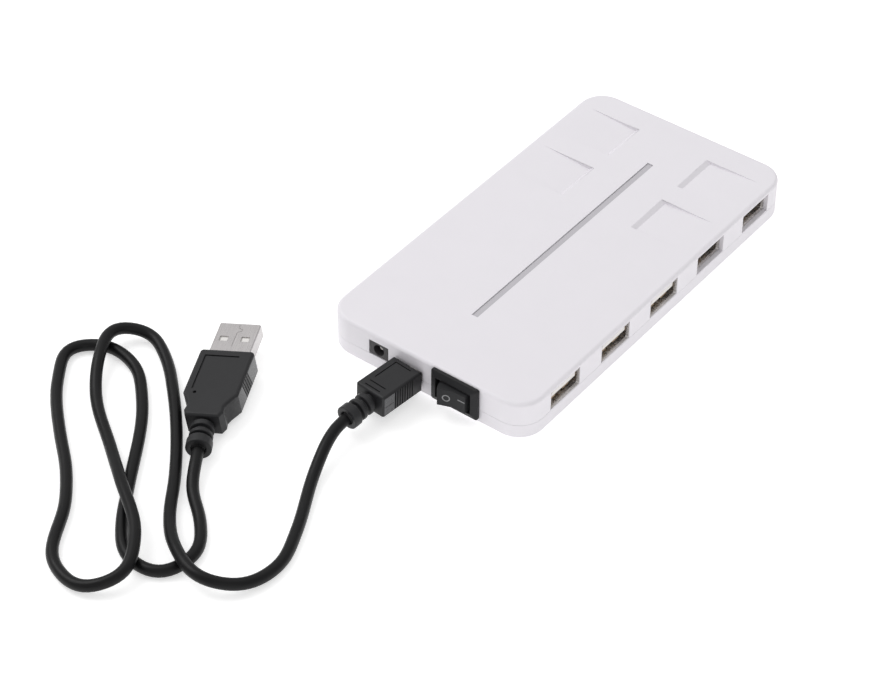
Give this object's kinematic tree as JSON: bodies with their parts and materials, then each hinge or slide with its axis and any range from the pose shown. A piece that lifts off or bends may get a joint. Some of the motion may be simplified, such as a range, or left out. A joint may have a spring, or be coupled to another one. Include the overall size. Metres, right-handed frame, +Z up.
{
  "type": "usb hub",
  "caption": "Slim rectangular desktop USB hub with side USB-A sockets, a rocker switch, a power jack, roof finger ramps and a plug-in mini-B to USB-A cable.",
  "frame": {"origin": "centre of the hub's own footprint (without the cable), on the table under its feet", "axes": "+Y along the hub's long side, away from the end with the switch; +Z up; +X to the right when looking along +Y"},
  "size_m": [0.1234, 0.2424, 0.0133],
  "materials": {
    "case_white": "fine moulded satin",
    "light_pipe": "polished, slightly frosted",
    "black_rubber": "dull",
    "plated_steel": "bright nickel plating",
    "brass": "plain",
    "aluminium_can": "satin",
    "board_green": "solder mask",
    "chip_black": "dull",
    "led_clear": "clear",
    "tongue_white": "smooth",
    "black_gloss": "semi-gloss",
    "black_satin": "satin",
    "wire_red": "smooth"
  },
  "bodies": {
    "hub": {"top_cover": "case_white", "bottom_cover": "case_white", "light_bar": "light_pipe", "foot_1": "black_rubber", "foot_2": "black_rubber", "foot_3": "black_rubber", "foot_4": "black_rubber", "case_screw_1": "plated_steel", "case_screw_2": "plated_steel", "case_screw_3": "plated_steel", "case_screw_4": "plated_steel", "circuit_board": "board_green", "hub_chip_1": "chip_black", "hub_chip_2": "chip_black", "hub_chip_3": "chip_black", "crystal": "plated_steel", "capacitor_1": "aluminium_can", "capacitor_2": "aluminium_can", "indicator_led_1": "led_clear", "indicator_led_2": "led_clear", "indicator_led_3": "led_clear", "usb_socket_shell_right_1": "plated_steel", "usb_socket_tongue_right_1": "tongue_white", "usb_socket_shell_right_2": "plated_steel", "usb_socket_tongue_right_2": "tongue_white", "usb_socket_shell_right_3": "plated_steel", "usb_socket_tongue_right_3": "tongue_white", "usb_socket_shell_right_4": "plated_steel", "usb_socket_tongue_right_4": "tongue_white", "usb_socket_shell_right_5": "plated_steel", "usb_socket_tongue_right_5": "tongue_white", "usb_socket_shell_left_1": "plated_steel", "usb_socket_tongue_left_1": "tongue_white", "usb_socket_shell_left_2": "plated_steel", "usb_socket_tongue_left_2": "tongue_white", "usb_socket_shell_left_3": "plated_steel", "usb_socket_tongue_left_3": "tongue_white", "usb_socket_shell_left_4": "plated_steel", "usb_socket_tongue_left_4": "tongue_white", "usb_socket_shell_left_5": "plated_steel", "usb_socket_tongue_left_5": "tongue_white", "dc_jack_body": "black_gloss", "dc_jack_pin": "brass", "mini_usb_socket_shell": "plated_steel", "mini_usb_socket_tongue": "chip_black", "switch_body": "black_satin", "switch_terminal_1": "brass", "switch_terminal_2": "brass", "switch_wire_1": "wire_red", "switch_wire_2": "black_rubber"},
    "rocker": {"switch_rocker": "black_satin"},
    "contact_arm": {"switch_contact_arm": "brass"},
    "cable": {"cord": "black_rubber", "mini_plug_body": "black_satin", "mini_plug_shell": "plated_steel", "mini_plug_insulator": "chip_black", "usb_plug_body": "black_satin", "usb_plug_shell": "plated_steel", "usb_plug_insulator": "tongue_white"}
  },
  "joints": [
    {"name": "switch_rocker_hinge", "type": "hinge", "parent": "hub", "child": "rocker", "pos_m": [0.0112, -0.06218, 0.00765], "axis": [0, 0, -1], "range_deg": [0, 22]},
    {"name": "switch_contact_hinge", "type": "hinge", "parent": "hub", "child": "contact_arm", "pos_m": [0.0112, -0.05728, 0.00765], "axis": [0, 0, 1], "range_deg": [0, 16]},
    {"name": "mini_plug_pull", "type": "slide", "parent": "hub", "child": "cable", "axis": [0, -1, 0], "range_m": [0, 0.012]}
  ],
  "couplings": [
    {"joint": "switch_contact_hinge", "follows": "switch_rocker_hinge", "ratio": 0.72727}
  ]
}
